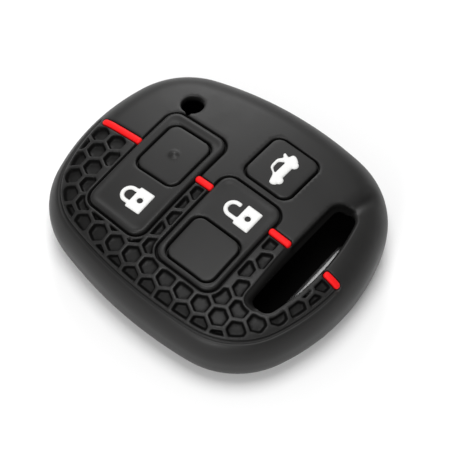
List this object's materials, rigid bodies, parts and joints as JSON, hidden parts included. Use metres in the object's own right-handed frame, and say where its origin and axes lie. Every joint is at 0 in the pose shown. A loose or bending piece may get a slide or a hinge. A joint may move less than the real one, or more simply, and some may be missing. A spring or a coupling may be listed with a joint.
{
  "type": "key fob cover",
  "caption": "Soft pebble-shaped silicone cover for a car key head, with press buttons, a honeycomb grip panel, coloured inlays, a key ring slot and an open mouth for the blade.",
  "frame": {"origin": "on the flat resting face, under the middle of the cover", "axes": "+X along the key, from the blade end to the key ring end; +Y across, from the honeycomb half to the smooth half; +Z out of the button face"},
  "size_m": [0.0563, 0.0474, 0.0154],
  "materials": {
    "black_silicone": "matte moulded silicone",
    "red_silicone": "satin silicone ink filled into a groove",
    "white_silicone": "satin silicone ink filled into a recess"
  },
  "bodies": {
    "cover": {"sleeve": "black_silicone", "lock_web": "black_silicone", "unlock_web": "black_silicone", "trunk_web": "black_silicone", "red_stripe_nose": "red_silicone", "red_stripe_middle": "red_silicone", "red_stripe_slot": "red_silicone", "red_stripe_tail": "red_silicone", "lock_symbol": "white_silicone", "unlock_symbol": "white_silicone"},
    "lock_key": {"lock_button": "black_silicone"},
    "unlock_key": {"unlock_button": "black_silicone"},
    "trunk_key": {"trunk_button": "black_silicone", "trunk_symbol": "white_silicone"}
  },
  "joints": [
    {"name": "lock_press", "type": "slide", "parent": "cover", "child": "lock_key", "axis": [0, 0, -1], "range_m": [0, 0.0008], "stiffness_N_per_m": 1500},
    {"name": "unlock_press", "type": "slide", "parent": "cover", "child": "unlock_key", "axis": [0, 0, -1], "range_m": [0, 0.0008], "stiffness_N_per_m": 1500},
    {"name": "trunk_press", "type": "slide", "parent": "cover", "child": "trunk_key", "axis": [0, 0, -1], "range_m": [0, 0.0008], "stiffness_N_per_m": 1500}
  ]
}
